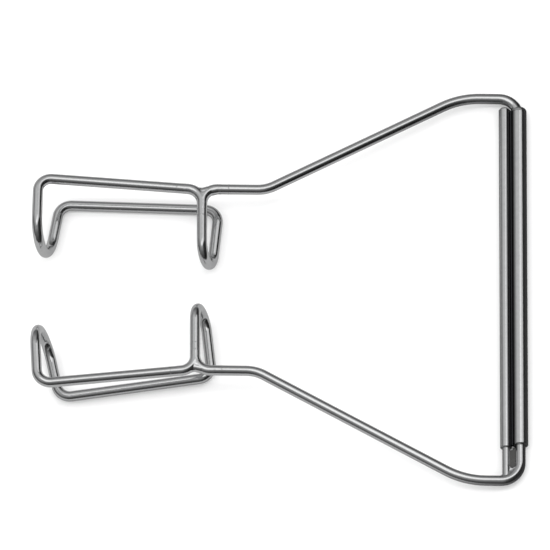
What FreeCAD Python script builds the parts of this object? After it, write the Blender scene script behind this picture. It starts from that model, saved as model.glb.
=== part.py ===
"""Self retaining wire retractor.

Two spring wire arms end in saddle-shaped loops that hook over the two edges of an opening.
The fixed arm is brazed into a guide tube. The sliding arm has a long shank in the same tube and a
thinner pilot rod in a second tube beside it, so the arms stay in line as they are spread.

The retractor is laid out flat first: X runs from the saddles to the tubes, Y along the tubes and
Z out of the plane of the arms, with the axis of the guide tube on the Y axis. The finished pieces
are then tipped about that axis until the foot rails of the saddles lie on the table with the tube.
"""

import FreeCAD, Part
import Sketcher
import math
import os

from FreeCAD import Placement, Rotation, Vector

# Lengths are in millimetres and angles in degrees.
DIMENSIONS = [
    ("wire_diameter", 2.3),
    ("guide_tube_diameter", 3.5),
    ("guide_tube_wall", 0.3),
    ("pilot_tube_diameter", 2.6),
    ("pilot_tube_wall", 0.25),
    ("pilot_rod_diameter", 1.7),
    ("guide_tube_length", 81.1),
    ("pilot_tube_excess", 1.2),
    ("pilot_tube_drop", 0.65),
    ("tube_chamfer", 0.12),
    ("seam_gap", 0.12),
    ("seam_height", 0.8),
    ("seam_setback", 1.5),
    ("slide_clearance", 0.05),
    ("bush_length", 12.0),
    ("collar_length", 4.0),
    ("plug_length", 3.0),
    ("plug_crown", 0.45),
    ("socket_length", 9.0),
    ("engaged_length", 62.0),
    ("dome_height", 1.0),
    ("dome_edge_radius", 0.9),
    ("arch_rise", 3.25),
    ("sliding_arch_drop", 8.55),
    ("fixed_shoulder", 13.1),
    ("sliding_shoulder", 12.4),
    ("fixed_elbow_distance", 56.4),
    ("sliding_elbow_distance", 58.7),
    ("arch_bend_radius", 4.4),
    ("shoulder_bend_radius", 18.0),
    ("elbow_bend_radius", 8.0),
    ("fixed_arm_angle", 27.9),
    ("arm_spacing", 44.1),
    ("fixed_heel_distance", 70.7),
    ("sliding_heel_distance", 72.2),
    ("tip_distance", 107.2),
    ("fixed_saddle_splay", 3.8),
    ("sliding_saddle_splay", 6.4),
    ("heel_rail_drop", 0.2),
    ("heel_hook_height", 16.1),
    ("tip_hook_height", 15.0),
    ("heel_depth", 7.6),
    ("heel_lean", 4.0),
    ("tip_lean", 5.1),
    ("foot_rail_inset", 1.55),
    ("hook_taper", 0.6),
    ("fixed_tip_sweep", 0.4),
    ("sliding_tip_sweep", 0.7),
    ("rail_bend_radius", 3.0),
    ("heel_bend_radius", 3.4),
    ("junction_run", 3.6),
    ("taper_length", 2.2),
    ("taper_end_diameter", 2.0),
    ("bead_diameter", 3.1),
    ("bead_offset", 0.9),
    ("web_clearance", 0.7),
    ("web_thickness", 1.2),
]
HOOK_BEND_SHARE = 0.96
FIXED_SIDE = 1
SLIDING_SIDE = -1

doc = FreeCAD.newDocument("retractor")
sheet = doc.addObject("Spreadsheet::Sheet", "Sizes")
for row, (alias, value) in enumerate(DIMENSIONS, start=1):
    sheet.set(f"A{row}", alias)
    sheet.set(f"B{row}", str(value))
    sheet.setAlias(f"B{row}", alias)
doc.recompute()

sub_parts = []


def size(alias):
    """The value of one driving dimension."""
    return float(sheet.get(alias))


# Places that several pieces share

wire_radius = size("wire_diameter") / 2
guide_bore = size("guide_tube_diameter") - 2 * size("guide_tube_wall")
pilot_bore = size("pilot_tube_diameter") - 2 * size("pilot_tube_wall")
pilot_x = -(size("guide_tube_diameter") + size("pilot_tube_diameter")) / 2 - size("seam_gap")
arm_slope = math.tan(math.radians(size("fixed_arm_angle")))
arm_y = size("arm_spacing") / 2
fixed_arch_y = arm_y + (size("fixed_elbow_distance") - size("fixed_shoulder")) * arm_slope
tube_top = fixed_arch_y - size("arch_rise")
tube_foot = tube_top - size("guide_tube_length")
pilot_foot = tube_foot - size("pilot_tube_drop")
pilot_top = pilot_foot + size("guide_tube_length") + size("pilot_tube_excess")
sliding_arch_y = size("sliding_arch_drop") - tube_foot
shank_end = tube_foot + size("engaged_length")
web_top = pilot_foot - size("web_clearance")
GUIDE_BORE = "(Sizes.guide_tube_diameter - 2 * Sizes.guide_tube_wall)"
PILOT_BORE = "(Sizes.pilot_tube_diameter - 2 * Sizes.pilot_tube_wall)"


def tip_angle(distance, depth):
    """The tip that sets a foot rail, at this distance and depth from the tube, on the table."""
    step = size("guide_tube_diameter") / 2 - wire_radius
    return math.atan2(depth, distance) - math.asin(step / math.hypot(distance, depth))


def depth_on_table(distance, tip):
    """How deep a foot rail is at this distance, where it lies on the table after the tip."""
    step = size("guide_tube_diameter") / 2 - wire_radius
    return (distance * math.sin(tip) + step) / math.cos(tip)


HEEL_DISTANCE = {FIXED_SIDE: size("fixed_heel_distance"), SLIDING_SIDE: size("sliding_heel_distance")}
SPLAY = {FIXED_SIDE: size("fixed_saddle_splay"), SLIDING_SIDE: size("sliding_saddle_splay")}
TIP_SWEEP = {FIXED_SIDE: size("fixed_tip_sweep"), SLIDING_SIDE: size("sliding_tip_sweep")}
tip = tip_angle(HEEL_DISTANCE[FIXED_SIDE] - size("heel_lean"), size("heel_depth"))
tip_depth = depth_on_table(size("tip_distance") - size("tip_lean"), tip)


def keep(shape_object, label, place=Placement()):
    """Lists an object as a sub-part, with its place in the flat layout."""
    shape_object.Label = label
    sub_parts.append((shape_object, place))
    return shape_object


def along_tube(x, y):
    """A place whose Z axis runs up the tube from this point."""
    return Placement(Vector(x, y, 0), Rotation(Vector(1, 0, 0), -90))


def round_body(label, outer, length, bore=None, edge=None, feature="Chamfer"):
    """A turned piece: a disc or ring section, padded, with its outer end edges eased."""
    body = doc.addObject("PartDesign::Body", label)
    section = body.newObject("Sketcher::SketchObject", label + "_section")
    plane = [p for p in body.Origin.OriginFeatures if p.Role == "XY_Plane"][0]
    section.AttachmentSupport = [(plane, "")]
    section.MapMode = "FlatFace"
    for place, diameter in enumerate(d for d in (outer, bore) if d):
        section.addGeometry(Part.Circle(Vector(), Vector(0, 0, 1), 1 + 1 / (1 + place)), False)
        section.addConstraint(Sketcher.Constraint("Coincident", place, 3, -1, 1))
        number = section.addConstraint(Sketcher.Constraint("Diameter", place, 3 - place))
        section.setExpression(f"Constraints[{number}]", diameter)
    pad = body.newObject("PartDesign::Pad", label + "_pad")
    pad.Profile = section
    pad.setExpression("Length", length)
    doc.recompute()
    if edge:
        ease = body.newObject("PartDesign::" + feature, label + "_edge")
        rim = max(e.Curve.Radius for e in pad.Shape.Edges if isinstance(e.Curve, Part.Circle))
        names = [
            f"Edge{n}"
            for n, e in enumerate(pad.Shape.Edges, start=1)
            if isinstance(e.Curve, Part.Circle)
            and abs(e.Curve.Radius - rim) < 1e-6
            and (feature == "Chamfer" or e.CenterOfMass.z > pad.Length.Value / 2)
        ]
        ease.Base = (pad, names)
        ease.setExpression("Size" if feature == "Chamfer" else "Radius", edge)
        doc.recompute()
    return body


def bend(points, radii, place):
    """Where the arc at one corner starts, the middle of it and where it ends."""
    at = points[place]
    back = (points[place - 1] - at).normalize()
    on = (points[(place + 1) % len(points)] - at).normalize()
    half = back.getAngle(on) / 2
    reach = radii[place] / math.tan(half)
    inward = (back + on).normalize()
    middle = at + inward * (radii[place] / math.sin(half) - radii[place])
    return at + back * reach, middle, at + on * reach


def bent_path(points, radii, closed=False):
    """Straight runs between the points, joined by tangent arcs, as a list of edges."""
    edges = []
    corners = range(len(points)) if closed else range(1, len(points) - 1)
    last = bend(points, radii, len(points) - 1)[2] if closed else points[0]
    for place in corners:
        start, middle, end = bend(points, radii, place)
        edges.append(Part.LineSegment(last, start).toShape())
        edges.append(Part.Arc(start, middle, end).toShape())
        last = end
    if not closed:
        edges.append(Part.LineSegment(last, points[-1]).toShape())
    return edges


def round_wire(edges, radius):
    """A solid round wire whose centre follows the edges, and which ends square."""
    first = edges[0]
    start = first.valueAt(first.FirstParameter)
    along = first.tangentAt(first.FirstParameter)
    section = Part.Wire(Part.Circle(start, along, radius).toShape())
    return Part.Wire(edges).makePipe(Part.Face(section))


def closed_loop(edges, radius):
    """A ring of wire, welded from two halves that meet in the middle of two straight runs."""

    def halves(edge):
        ends = edge.valueAt(edge.FirstParameter), edge.valueAt(edge.LastParameter)
        middle = (ends[0] + ends[1]) / 2
        return [Part.LineSegment(*pair).toShape() for pair in ((ends[0], middle), (middle, ends[1]))]

    across = len(edges) // 2
    first, second = halves(edges[0]), halves(edges[across])
    one = round_wire([first[1]] + edges[1:across] + [second[0]], radius)
    other = round_wire([second[1]] + edges[across + 1:] + [first[0]], radius)
    return one.fuse(other).removeSplitter()


def hook(corner, foot, height, side, sweep=0):
    """The two corners of one U of a saddle, between a top rail corner and a foot rail corner."""
    across = foot - corner
    near = corner + Vector(-sweep, -side * height, 0)
    return near, near + Vector(across.x * size("hook_taper"), 0, across.z)


def saddle_route(side):
    """The corners of a saddle and their bend radii, from the heel end of its top rail."""
    heel = Vector(-HEEL_DISTANCE[side], side * (arm_y - size("heel_rail_drop")), 0)
    rise = (size("tip_distance") - HEEL_DISTANCE[side]) * math.tan(math.radians(SPLAY[side]))
    tip_corner = Vector(-size("tip_distance"), heel.y + side * rise, 0)
    inset = Vector(0, -side * size("foot_rail_inset"), 0)
    heel_depth = depth_on_table(HEEL_DISTANCE[side] - size("heel_lean"), tip)
    heel_foot = heel + inset + Vector(size("heel_lean"), 0, -heel_depth)
    tip_foot = tip_corner + inset + Vector(size("tip_lean"), 0, -tip_depth)
    heel_hook = hook(heel, heel_foot, size("heel_hook_height"), side)
    tip_hook = hook(tip_corner, tip_foot, size("tip_hook_height"), side, TIP_SWEEP[side])
    heel_bend = (heel_hook[1] - heel_hook[0]).Length / 2 * HOOK_BEND_SHARE
    tip_bend = (tip_hook[1] - tip_hook[0]).Length / 2 * HOOK_BEND_SHARE
    points = [heel, *heel_hook, heel_foot, tip_foot, tip_hook[1], tip_hook[0], tip_corner]
    rail_bend = size("rail_bend_radius")
    heel_radius = size("heel_bend_radius")
    radii = [heel_radius, heel_bend, heel_bend, rail_bend, rail_bend, tip_bend, tip_bend, rail_bend]
    return points, radii


def saddle(side):
    """The closed loop of an arm: a top rail, a foot rail under it and a U at each end."""
    points, radii = saddle_route(side)
    return closed_loop(bent_path(points, radii, closed=True), wire_radius)


def arm(side, arch_y, shoulder, elbow_distance, shank_y):
    """One arm, from the end of its shank in the tube to the tapered end brazed to its saddle."""
    on_saddle = bend(*saddle_route(side), 0)[1]
    turn = Vector(-HEEL_DISTANCE[side] + size("junction_run"), side * arm_y, 0)
    taper = (on_saddle - turn).normalize() * size("taper_length")
    points = [
        Vector(0, shank_y, 0),
        Vector(0, side * arch_y, 0),
        Vector(-shoulder, side * arch_y, 0),
        Vector(-elbow_distance, side * arm_y, 0),
        turn,
        on_saddle - taper,
    ]
    bends = ("arch_bend_radius", "shoulder_bend_radius", "elbow_bend_radius", "rail_bend_radius")
    radii = [0, *(size(name) for name in bends), 0]
    wire = round_wire(bent_path(points, radii), wire_radius)
    end_radius = size("taper_end_diameter") / 2
    point = Part.makeCone(wire_radius, end_radius, taper.Length, on_saddle - taper, taper)
    return wire.fuse(point)


def feature(label, shape):
    """A sub-part whose shape is made here, in the flat layout."""
    made = doc.addObject("Part::Feature", label)
    made.Shape = shape
    return keep(made, label)


def junction_bead(side, arm_shape, saddle_shape):
    """The braze that fills the notch and the crotch where an arm meets its saddle."""
    on_saddle = bend(*saddle_route(side), 0)[1]
    centre = on_saddle + Vector(size("bead_offset"), 0, 0)
    ball = Part.makeSphere(size("bead_diameter") / 2, centre)
    return ball.cut(saddle_shape).cut(arm_shape)


def tubes():
    """The two tubes, the braze seam between them, their mouth bushes and the pilot tube's plug."""
    guide = round_body(
        "guide_tube", "Sizes.guide_tube_diameter", "Sizes.guide_tube_length", GUIDE_BORE, "Sizes.tube_chamfer"
    )
    pilot = round_body(
        "pilot_tube",
        "Sizes.pilot_tube_diameter",
        "Sizes.guide_tube_length + Sizes.pilot_tube_excess",
        PILOT_BORE,
        "Sizes.tube_chamfer",
    )
    guide_bush = round_body(
        "guide_bush", GUIDE_BORE, "Sizes.bush_length", "Sizes.wire_diameter + 2 * Sizes.slide_clearance"
    )
    pilot_bush = round_body(
        "pilot_bush", PILOT_BORE, "Sizes.bush_length", "Sizes.pilot_rod_diameter + 2 * Sizes.slide_clearance"
    )
    plug = round_body(
        "pilot_tube_plug",
        PILOT_BORE,
        "Sizes.plug_length + Sizes.plug_crown",
        edge="Sizes.plug_crown",
        feature="Fillet",
    )
    keep(guide, "guide_tube", along_tube(0, tube_foot))
    keep(pilot, "pilot_tube", along_tube(pilot_x, pilot_foot))
    keep(guide_bush, "guide_bush", along_tube(0, tube_foot))
    keep(pilot_bush, "pilot_bush", along_tube(pilot_x, pilot_foot))
    plug_y = pilot_top - size("plug_length")
    keep(plug, "pilot_tube_plug", along_tube(pilot_x, plug_y))
    seam()


def seam():
    """The braze between the tubes: a strip as high as the seam, hollowed by both tubes."""
    strip = doc.addObject("Part::Box", "seam_strip")
    strip.setExpression("Length", "(Sizes.guide_tube_diameter + Sizes.pilot_tube_diameter) / 2")
    strip.setExpression("Width", "Sizes.guide_tube_length - 2 * Sizes.seam_setback")
    strip.setExpression("Height", "Sizes.seam_height")
    strip.Placement.Base = Vector(pilot_x, tube_foot + size("seam_setback"), -size("seam_height") / 2)
    rest = strip
    for name, x, diameter in (
        ("seam_guide_side", 0, "guide_tube_diameter"),
        ("seam_pilot_side", pilot_x, "pilot_tube_diameter"),
    ):
        round_side = doc.addObject("Part::Cylinder", name)
        round_side.setExpression("Radius", f"Sizes.{diameter} / 2")
        round_side.setExpression("Height", "Sizes.guide_tube_length")
        round_side.Placement = along_tube(x, tube_foot)
        hollowed = doc.addObject("Part::Cut", name + "_cut")
        hollowed.Base, hollowed.Tool = rest, round_side
        rest = hollowed
    doc.recompute()
    keep(rest, "tube_seam_braze")


def fixed_frame():
    """The fixed arm, its saddle and its braze. Its shank ends in the top of the guide tube."""
    loop = saddle(FIXED_SIDE)
    socket_end = tube_top - size("socket_length")
    whole_arm = arm(
        FIXED_SIDE,
        fixed_arch_y,
        size("fixed_shoulder"),
        size("fixed_elbow_distance"),
        socket_end,
    )
    wire = whole_arm.cut(loop)
    feature("fixed_saddle", loop)
    feature("fixed_arm", wire)
    feature("fixed_junction_braze", junction_bead(FIXED_SIDE, wire, loop))
    shank_braze(whole_arm, socket_end)


def shank_braze(whole_arm, socket_end):
    """The braze that fills the socket round the fixed shank and stands as a dome on the tube."""
    filling = round_body("socket_filling", GUIDE_BORE, "Sizes.socket_length")
    filling.Placement = along_tube(0, socket_end)
    dome = round_body(
        "socket_dome",
        "Sizes.guide_tube_diameter",
        "Sizes.dome_height",
        edge="Sizes.dome_edge_radius",
        feature="Fillet",
    )
    dome.Placement = along_tube(0, tube_top)
    shank = doc.addObject("Part::Feature", "shank_outline")
    shank.Shape = whole_arm
    both = doc.addObject("Part::Fuse", "socket_braze")
    both.Base, both.Tool = filling, dome
    braze = doc.addObject("Part::Cut", "fixed_shank_braze")
    braze.Base, braze.Tool = both, shank
    doc.recompute()
    keep(braze, "fixed_shank_braze")


def sliding_frame():
    """The sliding arm, its saddle and braze, and the pilot rod that is brazed to its arch."""
    loop = saddle(SLIDING_SIDE)
    whole_arm = arm(
        SLIDING_SIDE,
        sliding_arch_y,
        size("sliding_shoulder"),
        size("sliding_elbow_distance"),
        shank_end,
    )
    wire = whole_arm.cut(loop)
    feature("sliding_saddle", loop)
    feature("sliding_arm", wire)
    feature("sliding_junction_braze", junction_bead(SLIDING_SIDE, wire, loop))
    rod_length = shank_end + sliding_arch_y
    rod_radius = size("pilot_rod_diameter") / 2
    rod_foot = Vector(pilot_x, -sliding_arch_y, 0)
    rod = Part.makeCylinder(rod_radius, rod_length, rod_foot, Vector(0, 1, 0)).cut(wire)
    feature("pilot_rod", rod)
    thickness = size("web_thickness")
    corner = Vector(pilot_x, wire_radius - sliding_arch_y, -thickness / 2)
    plate = Part.makeBox(-pilot_x - wire_radius / 2, web_top - corner.y, thickness, corner)
    feature("pilot_rod_braze", plate.cut(wire).cut(rod))
    for label, bore, inner, x in (
        ("shank_collar", GUIDE_BORE, "Sizes.wire_diameter", 0),
        ("pilot_collar", PILOT_BORE, "Sizes.pilot_rod_diameter", pilot_x),
    ):
        collar = round_body(label, f"{bore} - 2 * Sizes.slide_clearance", "Sizes.collar_length", inner)
        keep(collar, label, along_tube(x, shank_end - size("collar_length")))


def stand_on_table():
    """Tips every piece onto the table and puts the origin under the middle of the whole."""
    tipped = Placement(Vector(), Rotation(Vector(0, 1, 0), math.degrees(tip)))
    for piece, place in sub_parts:
        piece.Placement = tipped.multiply(place)
    whole = Part.makeCompound([piece.Shape for piece, _ in sub_parts]).optimalBoundingBox(False)
    middle = Vector((whole.XMin + whole.XMax) / 2, (whole.YMin + whole.YMax) / 2, whole.ZMin)
    for piece, _ in sub_parts:
        piece.Placement = Placement(-middle, Rotation()).multiply(piece.Placement)


def check_and_write():
    """Stops on any failed object or bad shape, and otherwise writes each sub-part."""
    doc.recompute()
    for made in doc.Objects:
        if "Invalid" in made.State or "Error" in made.State:
            raise RuntimeError(f"{made.Name} failed: {made.State}")
    for piece, _ in sub_parts:
        if piece.Shape.isNull() or not piece.Shape.isValid() or not piece.Shape.Solids:
            raise RuntimeError(f"{piece.Label} has no valid shape")
    os.makedirs("parts", exist_ok=True)
    for piece, _ in sub_parts:
        piece.Shape.exportStep(f"parts/{piece.Label}.step")
        box = piece.Shape.BoundBox
        print(
            f"{piece.Label}: {len(piece.Shape.Solids)} solid, {piece.Shape.Volume:.2f} mm3,"
            f" x {box.XMin:.2f} {box.XMax:.2f}, y {box.YMin:.2f} {box.YMax:.2f},"
            f" z {box.ZMin:.2f} {box.ZMax:.2f}"
        )


tubes()
fixed_frame()
sliding_frame()
stand_on_table()
check_and_write()
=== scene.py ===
import math

import bmesh
import bpy
from bpy.props import FloatProperty, FloatVectorProperty, PointerProperty
from bpy.types import Operator, Panel, PropertyGroup
from mathutils import Matrix, Vector


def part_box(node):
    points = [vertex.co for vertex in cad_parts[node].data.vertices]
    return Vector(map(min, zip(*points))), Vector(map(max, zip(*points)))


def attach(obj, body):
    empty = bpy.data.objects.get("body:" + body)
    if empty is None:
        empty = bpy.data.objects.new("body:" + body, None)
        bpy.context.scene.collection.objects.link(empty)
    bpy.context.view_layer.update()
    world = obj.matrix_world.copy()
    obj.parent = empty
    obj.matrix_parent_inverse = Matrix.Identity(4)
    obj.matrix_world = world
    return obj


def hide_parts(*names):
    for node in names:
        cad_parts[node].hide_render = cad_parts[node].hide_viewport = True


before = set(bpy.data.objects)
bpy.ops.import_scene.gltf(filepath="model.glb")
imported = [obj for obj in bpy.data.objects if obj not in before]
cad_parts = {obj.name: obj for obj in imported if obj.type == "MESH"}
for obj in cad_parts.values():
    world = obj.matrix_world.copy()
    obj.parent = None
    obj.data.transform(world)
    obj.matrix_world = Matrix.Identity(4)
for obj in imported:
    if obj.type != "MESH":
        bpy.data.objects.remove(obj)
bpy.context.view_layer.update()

bl_info = {
    "name": "Wire retractor",
    "version": (1, 0, 0),
    "blender": (4, 5, 0),
    "location": "View3D > Sidebar > Retractor",
    "description": "Finishes, brazed joints and studio for a self retaining wire retractor",
    "category": "Object",
}

# The CAD nodes by their finish
WIRES = ("fixed_arm", "fixed_saddle", "sliding_arm", "sliding_saddle", "pilot_rod")
TUBES = ("guide_tube", "pilot_tube")
TURNED = (
    "pilot_tube_plug", "fixed_shank_braze", "guide_bush", "pilot_bush",
    "shank_collar", "pilot_collar",
)

# How much rougher than the wires the tubes and the dressed joints are, how rough the turned
# pieces and the braze are, and how much of the wires' brightness the turned pieces have
TUBE_ROUGHER = 1.2
JOINT_ROUGHER = 1.3
TURNED_ROUGH = 0.25
SEAM_ROUGH = 0.45
WEB_ROUGH = 0.30
TURNED_BRIGHT = 0.85

# The clouds in the polish and the handling marks on it: how many to the grain, in what detail,
# and the marks' contrast, darkest tone and depth, in metres. No polish is finer than the last
CLOUDS_TO_GRAIN, CLOUD_DETAIL = 0.25, 3
MARKS_TO_GRAIN, MARK_DETAIL = 2.5, 4
MARK_CONTRAST = 0.3, 0.7
MARK_TONE = 0.93
MARK_DEPTH = 0.00001
FINEST_POLISH = 0.02

# The camera's sensor, in millimetres, and the nearest and farthest that it sees, in metres
SENSOR = 36.0
NEAREST, FARTHEST = 0.1, 100.0

# It looks down on the table from the foot of the tubes, turned until they stand upright
CAMERA_RIGHT = Vector((0.99727, 0.0, -0.07384))
CAMERA_UP = Vector((0.03003, 0.91355, 0.40563))
CAMERA_BACK = Vector((0.06745, -0.40674, 0.91105))

# The greys that the steel mirrors, from left to right and from the front to the back of the
# studio, as (place, grey) pairs
ACROSS = (
    (0.0, 0.12), (0.1, 0.45), (0.22, 0.9), (0.45, 1.0),
    (0.6, 0.8), (0.71, 0.25), (0.8, 0.04), (1.0, 0.03),
)
ALONG = (
    (0.0, 0.05), (0.12, 0.15), (0.3, 0.42), (0.5, 0.7), (0.7, 0.78), (0.85, 0.5), (1.0, 0.18),
)

# How strongly the surroundings light the table
DOME = 1.5

# Each lamp's place, and its width and length
OVERHEAD_SOFTBOX = (0.17, 0.12, 0.62), (0.30, 1.0)
KEY_STRIP = (-0.30, 0.0, 0.62), (0.08, 1.4)

# The table: half its side, its faint glow, and the table that the steel mirrors, which fades
# between the two X, from the first grey, under the saddles, to the second, under the tubes
TABLE_HALF = 2.0
TABLE_GLOW = 0.12
TABLE_MIRRORED = 0.02, 0.06, 0.36, 0.03

# The arms lie in a plane that is tipped about the tubes until the foot rails rest on the table
ARM_TIP = math.radians(5.988)

# The seam between the tubes, in metres: its place and width, how far it stops short of the pilot
# tube's mouth and top, and the painted shade beside it on the tubes, full as far as SHADE_NEAR
SEAM_X = 0.05135
SEAM_WIDTH = 0.0005
SEAM_FOOT = 0.00062
SEAM_TOP = 0.0002
SHADE_NEAR = 0.0005
SHADE_GONE = 0.0011
SHADE_SHARE = 0.9

# Each saddle's heel, in metres: its corner, the way its leg points, and its top rail's splay
HEELS = {
    "fixed": (Vector((-0.017072, 0.023324, 0.009126)), Vector((0, -1, 0)), math.radians(3.8)),
    "sliding": (Vector((-0.018564, -0.020376, 0.009282)), Vector((0, 1, 0)), math.radians(6.4)),
}

# The corner, in metres, that the sliding shank and its arch would meet in if they weren't bent
ARCH = Vector((0.053242, -0.04645, 0.00175))

# The joints are drawn in millimetres, and so are the lengths from here on: wire, arch and rod
MILLIMETRE = 0.001
WIRE_RADIUS = 1.15
ARCH_BEND = 4.4
PILOT_X = -3.17
PILOT_RADIUS = 0.85

# A joint's skin: how far it stands off the wires, which is less on the arch and in the notch,
# the size of its mesh, how often it is smoothed, and the facets of the wires under it
FILM = 0.02
ARCH_FILM = 0.012
NOTCH_FILM = 0.01
SKIN_MESH = 0.08
SKIN_PASSES = 12
ROUND_SIDES = 32
BEND_STEPS = 14

# A skin sinks into the real wires as a slight cone, to this share of its width over this
# length, and then ends in a steep one
TAPER = 0.93
TAPER_LENGTH = 2.0
TIP = 0.3
TIP_LENGTH = 1.4

# A heel's skin: its straight runs on the leg and next to the bends, how far outside the rail
# the arm lies, and the runs, as (start, step), that fill the notch between the two bends
LEG_RUN = 1.5
END_RUN = 0.8
ARM_ASIDE = 0.2
NOTCH_RUNS = ((3.6, -0.2, 0), (-4.1, 0.96, 0)), ((-3.4, -0.25, 0), (3.9, 1.0, 0))

# The pilot rod's foot: its run down to the arch, the pad in the corner between the two, the blocks
# of the web, which step round the mouth of the pilot tube, and the fillets of both. The web is
# near-black with painted shade, and its blocks reach up into the shade under the tube mouths
ROD_RUN = 3.4
FOOT_PAD = (PILOT_X, 1.2, -0.75), (-1.0, 3.1, 0.75)
WEB_BLOCKS = (
    ((PILOT_X, 2.6, -0.5), (-0.7, 7.3, 0.5)),
    ((-1.75, 2.6, -0.5), (-0.7, 7.95, 0.5)),
)
FOOT_FILLET = 0.6
WEB_FILLET = 0.15


class RetractorFinish(PropertyGroup):
    steel_color: FloatVectorProperty(
        name="Steel",
        description="Colour of the polished stainless steel",
        subtype="COLOR",
        default=(0.74, 0.745, 0.75),
    )
    # Painted shade: the web's near-black colour stands in for the shade between rod and shank and
    # under the tube mouths
    braze_and_shade_color: FloatVectorProperty(
        name="Braze",
        description="Colour of the dull braze in the web",
        subtype="COLOR",
        default=(0.1, 0.1, 0.098),
    )
    # Painted shade: this near-black colour darkens the seam braze and the tubes beside it, where
    # the tubes shade each other
    seam_and_shade_color: FloatVectorProperty(
        name="Seam",
        description="Colour of the dark seam between the tubes",
        subtype="COLOR",
        default=(0.045, 0.045, 0.05),
    )
    polish: FloatProperty(
        name="Polish",
        description="Roughness of the polished wire",
        subtype="FACTOR",
        min=0,
        max=1,
        default=0.12,
    )
    fillet: FloatProperty(
        name="Fillet",
        description="Radius of the braze fillets at the junctions",
        unit="LENGTH",
        default=0.002,
    )
    heel_bend: FloatProperty(
        name="Heel bend",
        description="Radius at which rail and arm turn into the leg",
        unit="LENGTH",
        default=0.0034,
    )
    grain: FloatProperty(
        name="Grain",
        description="Size of one detail of the polish",
        unit="LENGTH",
        default=0.0012,
    )


class RetractorStudio(PropertyGroup):
    scale: FloatProperty(
        name="Width seen",
        description="Width of the table that the picture takes in",
        unit="LENGTH",
        default=0.12238,
    )
    distance: FloatProperty(
        name="Distance",
        description="From the camera to the retractor",
        unit="LENGTH",
        default=4.8,
    )
    aim: FloatVectorProperty(
        name="Aim",
        description="Point in the middle of the picture",
        subtype="XYZ",
        default=(-0.00096, 0.00325, 0.0064),
    )
    overhead: FloatProperty(
        name="Overhead",
        description="Power of the long softbox overhead",
        unit="POWER",
        default=0.6,
    )
    key: FloatProperty(name="Key", description="Power of the key strip", unit="POWER", default=1.5)
    floor_color: FloatVectorProperty(
        name="Floor",
        description="Colour of the table",
        subtype="COLOR",
        default=(0.8, 0.8, 0.8),
    )


def nodes_of(owner):
    """The emptied node tree of a material or a world."""
    owner.use_nodes = True
    tree = owner.node_tree
    tree.nodes.clear()
    return tree


def link(tree, start, socket, end, target):
    """Joins an output of one node to an input of another."""
    tree.links.new(start.outputs[socket], end.inputs[target])


def spread(node, low, high, first, last):
    """Sets a Map Range node, which turns low to high into first to last."""
    sockets = "From Min", "From Max", "To Min", "To Max"
    for socket, value in zip(sockets, (low, high, first, last)):
        node.inputs[socket].default_value = value


def steel(name, color, rough, cloudiness, grain, bump):
    """Polished metal: a cloudy roughness and fine handling marks on Object coordinates."""
    material = bpy.data.materials.new(name)
    tree = nodes_of(material)
    new = tree.nodes.new
    out = new("ShaderNodeOutputMaterial")
    shader = new("ShaderNodeBsdfPrincipled")
    where = new("ShaderNodeTexCoord")
    cloud = new("ShaderNodeTexNoise")
    fine = new("ShaderNodeTexNoise")
    roughness = new("ShaderNodeMapRange")
    tone = new("ShaderNodeMapRange")
    tint = new("ShaderNodeMix")
    relief = new("ShaderNodeBump")
    shader.inputs["Metallic"].default_value = 1.0
    cloud.inputs["Scale"].default_value = CLOUDS_TO_GRAIN / grain
    cloud.inputs["Detail"].default_value = CLOUD_DETAIL
    fine.inputs["Scale"].default_value = MARKS_TO_GRAIN / grain
    fine.inputs["Detail"].default_value = MARK_DETAIL
    spread(roughness, 0, 1, max(rough - cloudiness, FINEST_POLISH), rough + cloudiness)
    spread(tone, *MARK_CONTRAST, 0, 1)
    tint.data_type = "RGBA"
    tint.inputs["A"].default_value = (*[c * MARK_TONE for c in color], 1)
    tint.inputs["B"].default_value = (*color, 1)
    relief.inputs["Strength"].default_value = bump
    relief.inputs["Distance"].default_value = MARK_DEPTH
    link(tree, where, "Object", cloud, "Vector")
    link(tree, where, "Object", fine, "Vector")
    link(tree, cloud, "Fac", roughness, "Value")
    link(tree, fine, "Fac", tone, "Value")
    link(tree, tone, "Result", tint, "Factor")
    link(tree, tint, "Result", shader, "Base Color")
    link(tree, roughness, "Result", shader, "Roughness")
    link(tree, fine, "Fac", relief, "Height")
    link(tree, relief, "Normal", shader, "Normal")
    link(tree, shader, "BSDF", out, "Surface")
    return material


def dressed(name, finish):
    """The steel of a dressed joint, a little rougher than the wires."""
    rough = finish.polish * JOINT_ROUGHER
    return steel(name, finish.steel_color, rough, cloudiness=0.05, grain=finish.grain, bump=0.15)


def braze(name, color, rough, finish):
    """Dull braze, rougher than the steel and of a finer grain."""
    return steel(name, color, rough, cloudiness=0.08, grain=finish.grain / 2, bump=0.5)


def dress(nodes, material):
    """Gives these CAD nodes this finish."""
    for node in nodes:
        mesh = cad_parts[node].data
        mesh.materials.clear()
        mesh.materials.append(material)


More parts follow.
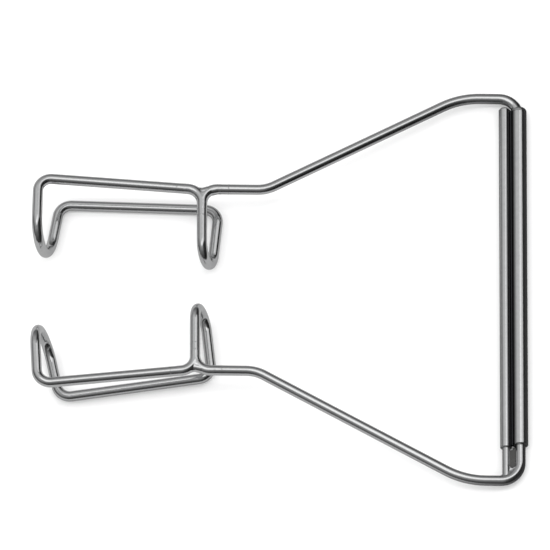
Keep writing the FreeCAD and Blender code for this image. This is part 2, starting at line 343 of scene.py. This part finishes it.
class WIRE_OT_finishes(Operator):
    """Polishes the wires, tubes, rod and inner pieces"""

    bl_idname = "retractor.finishes"
    bl_label = "Polish the steel"

    def execute(self, context):
        finish = context.scene.retractor_finish
        color, grain = finish.steel_color, finish.grain
        rough = finish.polish * TUBE_ROUGHER
        darker = [c * TURNED_BRIGHT for c in color]
        wire = steel("polished_wire", color, finish.polish, cloudiness=0.04, grain=grain, bump=0.1)
        tube = steel("polished_tube", color, rough, cloudiness=0.05, grain=grain * 2, bump=0.15)
        turned = steel("turned_steel", darker, TURNED_ROUGH, cloudiness=0.05, grain=grain, bump=0.3)
        # Painted shade: the tubes are darkened along their seam, where they shade each other
        self.paint_seam_shade(tube.node_tree, finish.seam_and_shade_color)
        dress(WIRES, wire)
        dress(TUBES, tube)
        dress(TURNED, turned)
        return {"FINISHED"}

    def paint_seam_shade(self, tree, color):
        """Darkens the two tubes along their seam with painted shade, where they shade each other.
        """
        new = tree.nodes.new
        where = tree.nodes["Texture Coordinate"]
        shader = tree.nodes["Principled BSDF"]
        bright = shader.inputs["Base Color"].links[0].from_socket
        parts = new("ShaderNodeSeparateXYZ")
        aside = new("ShaderNodeMath")
        apart = new("ShaderNodeMath")
        near = new("ShaderNodeMapRange")
        tint = new("ShaderNodeMix")
        aside.operation = "SUBTRACT"
        aside.inputs[1].default_value = SEAM_X
        apart.operation = "ABSOLUTE"
        near.interpolation_type = "SMOOTHSTEP"
        spread(near, SHADE_NEAR, SHADE_GONE, SHADE_SHARE, 0)
        tint.data_type = "RGBA"
        tint.inputs["B"].default_value = (*color, 1)
        link(tree, where, "Object", parts, "Vector")
        link(tree, parts, "X", aside, 0)
        link(tree, aside, "Value", apart, 0)
        link(tree, apart, "Value", near, "Value")
        link(tree, near, "Result", tint, "Factor")
        tree.links.new(bright, tint.inputs["A"])
        link(tree, tint, "Result", shader, "Base Color")


def shown(name, mesh):
    """Turns a drawing into an object of the scene."""
    data = bpy.data.meshes.new(name)
    mesh.to_mesh(data)
    mesh.free()
    piece = bpy.data.objects.new(name, data)
    bpy.context.scene.collection.objects.link(piece)
    return piece


def disc(mesh, radius, centre, way):
    """A filled circle across this direction, the start of a wire. Returns its face."""
    turned = Vector((0, 0, 1)).rotation_difference(Vector(way)).to_matrix().to_4x4()
    made = bmesh.ops.create_circle(
        mesh,
        cap_ends=True,
        segments=ROUND_SIDES,
        radius=radius,
        matrix=Matrix.Translation(centre) @ turned,
    )
    return list(made["verts"][0].link_faces)


def only(geometry, kind):
    """The vertices or the faces of what an operator made."""
    return [part for part in geometry if isinstance(part, kind)]


def straight(mesh, ends, step):
    """Extrudes the end of a wire straight on. Returns its new end face."""
    made = bmesh.ops.extrude_face_region(mesh, geom=ends)["geom"]
    bmesh.ops.translate(mesh, verts=only(made, bmesh.types.BMVert), vec=step)
    return only(made, bmesh.types.BMFace)


def cone(mesh, ends, step, share):
    """Extrudes the end of a wire as a cone, to this share of its width."""
    ends = straight(mesh, ends, step)
    to_middle = Matrix.Translation(-ends[0].calc_center_median())
    bmesh.ops.scale(mesh, verts=ends[0].verts, vec=(share,) * 3, space=to_middle)
    return ends


def started(mesh, radius, centre, way):
    """A wire that comes out of the real wire as a slight cone. Returns its end face."""
    way = Vector(way)
    tip = disc(mesh, radius * TIP, Vector(centre) - way * (TAPER_LENGTH + TIP_LENGTH), way)
    steep = cone(mesh, tip, way * TIP_LENGTH, TAPER / TIP)
    return cone(mesh, steep, way * TAPER_LENGTH, 1 / TAPER)


def sunk(mesh, ends, way):
    """Ends a wire as it started, as a slight cone that sinks into the real wire."""
    way = Vector(way)
    slight = cone(mesh, ends, way * TAPER_LENGTH, TAPER)
    cone(mesh, slight, way * TIP_LENGTH, TIP / TAPER)


def bent(mesh, ends, centre, angle):
    """Turns the end of a wire round a centre in its plane. Returns its new end face."""
    parts = [*ends[0].verts, *ends[0].edges, *ends]
    made = bmesh.ops.spin(
        mesh, geom=parts, cent=centre, axis=(0, 0, 1), angle=angle, steps=BEND_STEPS
    )
    return only(made["geom_last"], bmesh.types.BMFace)


def block(mesh, low, high):
    """A block between two corners."""
    low, high = Vector(low), Vector(high)
    made = bmesh.ops.create_cube(mesh, size=1.0)
    bmesh.ops.scale(mesh, verts=made["verts"], vec=high - low)
    bmesh.ops.translate(mesh, verts=made["verts"], vec=(low + high) / 2)


def laid(corner, leg_way):
    """The place, in the plane of the arms, of a drawing with this corner and this leg."""
    along = Vector((math.cos(ARM_TIP), 0, -math.sin(ARM_TIP)))
    turned = Matrix((along, leg_way, along.cross(leg_way))).transposed().to_4x4()
    return Matrix.Translation(corner) @ turned


def melted(name, mesh, reach, place):
    """One skin over overlapping shapes, whose inner corners are filled to this radius."""
    inner = [face for face in mesh.faces if all(len(edge.link_faces) > 2 for edge in face.edges)]
    bmesh.ops.delete(mesh, geom=inner, context="FACES_ONLY")
    bmesh.ops.recalc_face_normals(mesh, faces=mesh.faces)
    piece = shown(name, mesh)
    for strength in (reach, -reach):
        swell = piece.modifiers.new("swell", "DISPLACE")
        swell.mid_level = 0
        swell.strength = strength
        skin = piece.modifiers.new("skin", "REMESH")
        skin.mode = "VOXEL"
        skin.voxel_size = SKIN_MESH
    relax = piece.modifiers.new("relax", "SMOOTH")
    relax.factor = 0.5
    relax.iterations = SKIN_PASSES
    finished = piece.evaluated_get(bpy.context.evaluated_depsgraph_get())
    shape = bpy.data.meshes.new_from_object(finished)
    piece.modifiers.clear()
    shape.transform(place @ Matrix.Scale(MILLIMETRE, 4))
    for face in shape.polygons:
        face.use_smooth = True
    piece.data = shape
    return piece


class WIRE_OT_seam(Operator):
    """Runs the braze between the tubes along almost all their length, near-black with painted shade
    """

    bl_idname = "retractor.seam"
    bl_label = "Braze the tubes"

    def execute(self, context):
        finish = context.scene.retractor_finish
        low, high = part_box("tube_seam_braze")
        middle = (low[0] + high[0]) / 2
        front, back = (corner[1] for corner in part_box("pilot_tube"))
        mesh = bmesh.new()
        first = (middle - SEAM_WIDTH / 2, front + SEAM_FOOT, low[2])
        block(mesh, first, (middle + SEAM_WIDTH / 2, back - SEAM_TOP, high[2]))
        piece = shown("tube_seam", mesh)
        # The seam's near-black colour is painted shade between the tubes
        piece.data.materials.append(braze("seam_braze", finish.seam_and_shade_color, SEAM_ROUGH, finish))
        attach(piece, "fixed_frame")
        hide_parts("tube_seam_braze")
        return {"FINISHED"}


class WIRE_OT_junctions(Operator):
    """Blends each arm and its saddle into one dressed joint at the heel"""

    bl_idname = "retractor.junctions"
    bl_label = "Dress the junctions"

    def execute(self, context):
        finish = context.scene.retractor_finish
        bright = dressed("dressed_joint", finish)
        for side, (corner, leg_way, splay) in HEELS.items():
            mesh = self.runs(finish.heel_bend / MILLIMETRE, splay)
            place = laid(corner, leg_way)
            piece = melted(side + "_junction", mesh, finish.fillet / MILLIMETRE, place)
            piece.data.materials.append(bright)
            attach(piece, side + "_frame")
            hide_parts(side + "_junction_braze")
        return {"FINISHED"}

    def runs(self, radius, splay):
        """The leg bent into the rail and into the arm, and the runs between the two bends."""
        mesh = bmesh.new()
        thick = WIRE_RADIUS + FILM
        reach = radius * math.tan((math.pi / 2 - splay) / 2)
        rail_way = Vector((-math.cos(splay), -math.sin(splay), 0))
        leg = started(mesh, thick, (0, reach + LEG_RUN, 0), (0, -1, 0))
        leg = straight(mesh, leg, (0, -LEG_RUN, 0))
        rail = bent(mesh, leg, (-radius, reach, 0), splay - math.pi / 2)
        rail = straight(mesh, rail, rail_way * END_RUN)
        sunk(mesh, rail, rail_way)
        leg = disc(mesh, thick, (0, radius - ARM_ASIDE + END_RUN, 0), (0, -1, 0))
        leg = straight(mesh, leg, (0, -END_RUN, 0))
        arm = bent(mesh, leg, (radius, radius - ARM_ASIDE, 0), math.pi / 2)
        arm = straight(mesh, arm, (END_RUN, 0, 0))
        sunk(mesh, arm, (1, 0, 0))
        for start, step in NOTCH_RUNS:
            straight(mesh, disc(mesh, WIRE_RADIUS + NOTCH_FILM, start, step), step)
        return mesh


class WIRE_OT_web(Operator):
    """Brazes the foot of the pilot rod to the arch, with a dull web up to the tubes, near-black
    with painted shade
    """

    bl_idname = "retractor.web"
    bl_label = "Braze the pilot rod"

    def execute(self, context):
        finish = context.scene.retractor_finish
        bright = dressed("dressed_foot", finish)
        # The web's near-black colour is painted shade in the recess between rod and shank
        dull = braze("web_braze_and_shade", finish.braze_and_shade_color, WEB_ROUGH, finish)
        place = laid(ARCH, Vector((0, 1, 0)))
        foot = melted("pilot_rod_foot", self.foot(), FOOT_FILLET, place)
        web = melted("pilot_rod_web", self.web(), WEB_FILLET, place)
        for piece, material in ((foot, bright), (web, dull)):
            piece.data.materials.append(material)
            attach(piece, "sliding_frame")
            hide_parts("pilot_rod_braze")
        return {"FINISHED"}

    def foot(self):
        """The arch turning into the shank, and the foot of the rod that stands on it."""
        mesh = bmesh.new()
        shank = started(mesh, WIRE_RADIUS + ARCH_FILM, (0, ARCH_BEND, 0), (0, -1, 0))
        arch = bent(mesh, shank, (-ARCH_BEND, ARCH_BEND, 0), -math.pi / 2)
        sunk(mesh, arch, (-1, 0, 0))
        rod = started(mesh, PILOT_RADIUS + FILM, (PILOT_X, ROD_RUN, 0), (0, -1, 0))
        straight(mesh, rod, (0, -ROD_RUN, 0))
        block(mesh, *FOOT_PAD)
        return mesh

    def web(self):
        """The plate between rod and shank, up to the mouths of the tubes."""
        mesh = bmesh.new()
        for low, high in WEB_BLOCKS:
            block(mesh, low, high)
        return mesh


class WIRE_OT_studio(Operator):
    """Sets the table, the softboxes, the surroundings and the camera"""

    bl_idname = "retractor.studio"
    bl_label = "Set the studio"

    def execute(self, context):
        studio = context.scene.retractor_studio
        self.table(studio)
        self.surroundings(context.scene)
        self.softbox("overhead_softbox", *OVERHEAD_SOFTBOX, studio.overhead, True)
        self.softbox("key_strip", *KEY_STRIP, studio.key, False)
        self.camera(context.scene, studio)
        return {"FINISHED"}

    def table(self, studio):
        """A white table for the camera, of which the steel mirrors a greyer one."""
        sheet = bmesh.new()
        bmesh.ops.create_grid(sheet, x_segments=1, y_segments=1, size=TABLE_HALF)
        floor = shown("table", sheet)
        material = bpy.data.materials.new("table_white")
        tree = nodes_of(material)
        new = tree.nodes.new
        out = new("ShaderNodeOutputMaterial")
        lit = new("ShaderNodeBsdfDiffuse")
        glow = new("ShaderNodeEmission")
        white = new("ShaderNodeAddShader")
        mirrored = new("ShaderNodeBsdfDiffuse")
        where = new("ShaderNodeTexCoord")
        parts = new("ShaderNodeSeparateXYZ")
        fade = new("ShaderNodeMapRange")
        path = new("ShaderNodeLightPath")
        bounce = new("ShaderNodeMixShader")
        seen = new("ShaderNodeMixShader")
        lit.inputs["Color"].default_value = (*studio.floor_color, 1)
        glow.inputs["Strength"].default_value = TABLE_GLOW
        spread(fade, *TABLE_MIRRORED)
        link(tree, where, "Object", parts, "Vector")
        link(tree, parts, "X", fade, "Value")
        link(tree, fade, "Result", mirrored, "Color")
        link(tree, lit, "BSDF", white, 0)
        link(tree, glow, "Emission", white, 1)
        link(tree, path, "Is Glossy Ray", bounce, 0)
        link(tree, lit, "BSDF", bounce, 1)
        link(tree, mirrored, "BSDF", bounce, 2)
        link(tree, path, "Is Camera Ray", seen, 0)
        link(tree, bounce, "Shader", seen, 1)
        link(tree, white, "Shader", seen, 2)
        link(tree, seen, "Shader", out, "Surface")
        floor.data.materials.append(material)

    def surroundings(self, scene):
        """White for the camera, an even dome for the table, and soft greys for the steel."""
        world = bpy.data.worlds.new("studio_surroundings")
        scene.world = world
        tree = nodes_of(world)
        new = tree.nodes.new
        out = new("ShaderNodeOutputWorld")
        sky = new("ShaderNodeBackground")
        path = new("ShaderNodeLightPath")
        where = new("ShaderNodeTexCoord")
        parts = new("ShaderNodeSeparateXYZ")
        across = self.ramp(tree, ACROSS)
        along = self.ramp(tree, ALONG)
        from_left = new("ShaderNodeMapRange")
        from_front = new("ShaderNodeMapRange")
        grey = new("ShaderNodeMath")
        bounce = new("ShaderNodeMix")
        seen = new("ShaderNodeMix")
        spread(from_left, -1, 1, 0, 1)
        spread(from_front, -1, 1, 0, 1)
        grey.operation = "MULTIPLY"
        for mix in (bounce, seen):
            mix.data_type = "FLOAT"
        bounce.inputs["A"].default_value = DOME
        seen.inputs["B"].default_value = 1.0
        link(tree, where, "Generated", parts, "Vector")
        link(tree, parts, "X", from_left, "Value")
        link(tree, parts, "Y", from_front, "Value")
        link(tree, from_left, "Result", across, "Fac")
        link(tree, from_front, "Result", along, "Fac")
        link(tree, across, "Color", grey, 0)
        link(tree, along, "Color", grey, 1)
        link(tree, path, "Is Glossy Ray", bounce, "Factor")
        link(tree, grey, "Value", bounce, "B")
        link(tree, path, "Is Camera Ray", seen, "Factor")
        link(tree, bounce, "Result", seen, "A")
        link(tree, seen, "Result", sky, "Strength")
        link(tree, sky, "Background", out, "Surface")

    def ramp(self, tree, stops):
        """A soft run of greys, from (place, grey) pairs."""
        made = tree.nodes.new("ShaderNodeValToRGB")
        made.color_ramp.interpolation = "EASE"
        steps = made.color_ramp.elements
        for place, _ in stops[1:-1]:
            steps.new(place)
        for step, (place, grey) in zip(steps, stops):
            step.position = place
            step.color = (grey, grey, grey, 1)
        return made

    def softbox(self, name, place, sides, power, mirrored):
        """A lamp that faces the middle of the table. The steel mirrors it only if told to."""
        light = bpy.data.lights.new(name, "AREA")
        light.shape = "RECTANGLE"
        light.size, light.size_y = sides
        light.energy = power
        lamp = bpy.data.objects.new(name, light)
        bpy.context.scene.collection.objects.link(lamp)
        lamp.location = place
        lamp.rotation_euler = (-Vector(place)).to_track_quat("-Z", "Y").to_euler()
        lamp.visible_glossy = mirrored

    def camera(self, scene, studio):
        """A long lens, far off, that takes in this width at the point it is aimed at."""
        data = bpy.data.cameras.new("camera")
        data.sensor_width = SENSOR
        data.lens = SENSOR * studio.distance / studio.scale
        data.clip_start, data.clip_end = NEAREST, FARTHEST
        camera = bpy.data.objects.new("camera", data)
        scene.collection.objects.link(camera)
        turned = Matrix((CAMERA_RIGHT, CAMERA_UP, CAMERA_BACK)).transposed().to_4x4()
        place = Vector(studio.aim) + CAMERA_BACK * studio.distance
        camera.matrix_world = Matrix.Translation(place) @ turned
        scene.camera = camera


class WIRE_PT_retractor(Panel):
    bl_label = "Wire retractor"
    bl_idname = "WIRE_PT_retractor"
    bl_space_type = "VIEW_3D"
    bl_region_type = "UI"
    bl_category = "Retractor"

    def draw(self, context):
        for group in (context.scene.retractor_finish, context.scene.retractor_studio):
            for name in group.bl_rna.properties.keys():
                if name not in ("rna_type", "name"):
                    self.layout.prop(group, name)
        for step in OPERATORS:
            self.layout.operator(step.bl_idname)


GROUPS = (RetractorFinish, RetractorStudio)
OPERATORS = (WIRE_OT_finishes, WIRE_OT_seam, WIRE_OT_junctions, WIRE_OT_web, WIRE_OT_studio)
CLASSES = (*GROUPS, *OPERATORS, WIRE_PT_retractor)


def register():
    for made in CLASSES:
        bpy.utils.register_class(made)
    bpy.types.Scene.retractor_finish = PointerProperty(type=RetractorFinish)
    bpy.types.Scene.retractor_studio = PointerProperty(type=RetractorStudio)


def unregister():
    del bpy.types.Scene.retractor_finish
    del bpy.types.Scene.retractor_studio
    for made in reversed(CLASSES):
        bpy.utils.unregister_class(made)


def main():
    register()
    bpy.context.scene.view_settings.view_transform = "Standard"
    bpy.ops.retractor.finishes()
    bpy.ops.retractor.seam()
    bpy.ops.retractor.junctions()
    bpy.ops.retractor.web()
    bpy.ops.retractor.studio()


if __name__ == "__main__":
    main()
